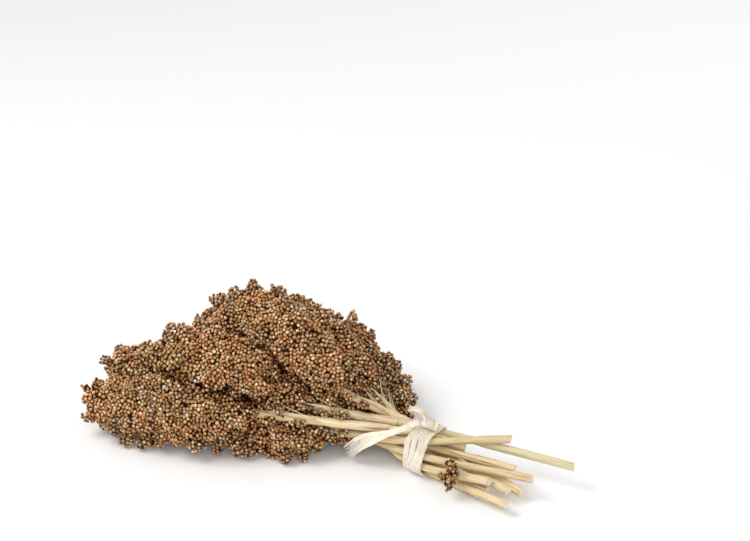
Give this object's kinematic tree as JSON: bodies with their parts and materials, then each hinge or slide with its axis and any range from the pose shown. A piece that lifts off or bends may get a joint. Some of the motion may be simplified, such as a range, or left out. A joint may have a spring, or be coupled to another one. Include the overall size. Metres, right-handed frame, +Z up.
{
  "type": "sorghum seed head",
  "caption": "Dried sorghum seed heads in a hand-tied bunch: dense brown grain heads fan out one way, cut straw stalks cross in a fibre tie and fan out the other.",
  "frame": {"origin": "middle of the footprint, on the surface that the bunch lies on", "axes": "+X along the bunch toward the cut ends, the seed heads pointing to -X; +Z up; +Y to the back"},
  "size_m": [0.4916, 0.2463, 0.1473],
  "materials": {
    "grain": "dull dry grains, tan brown to pinkish brown, darker between them",
    "straw": "dry pale straw with a slight sheen and fine lengthwise fibres",
    "twine": "matte cream-white plant fibre"
  },
  "bodies": {
    "root": {"head_front_near": "grain", "head_front_far": "grain", "head_left_low": "grain", "head_middle_low": "grain", "head_right_low": "grain", "head_back_low": "grain", "head_left_top": "grain", "head_middle_top": "grain", "head_centre_top": "grain", "head_back_top": "grain", "loose_sprig": "grain", "stalk_front_near": "straw", "stalk_front_far": "straw", "stalk_left_low": "straw", "stalk_middle_low": "straw", "stalk_right_low": "straw", "stalk_back_low": "straw", "stalk_left_top": "straw", "stalk_middle_top": "straw", "stalk_centre_top": "straw", "stalk_back_top": "straw", "tie_wraps": "twine", "tie_knot": "twine", "tie_tail": "twine"}
  },
  "joints": []
}
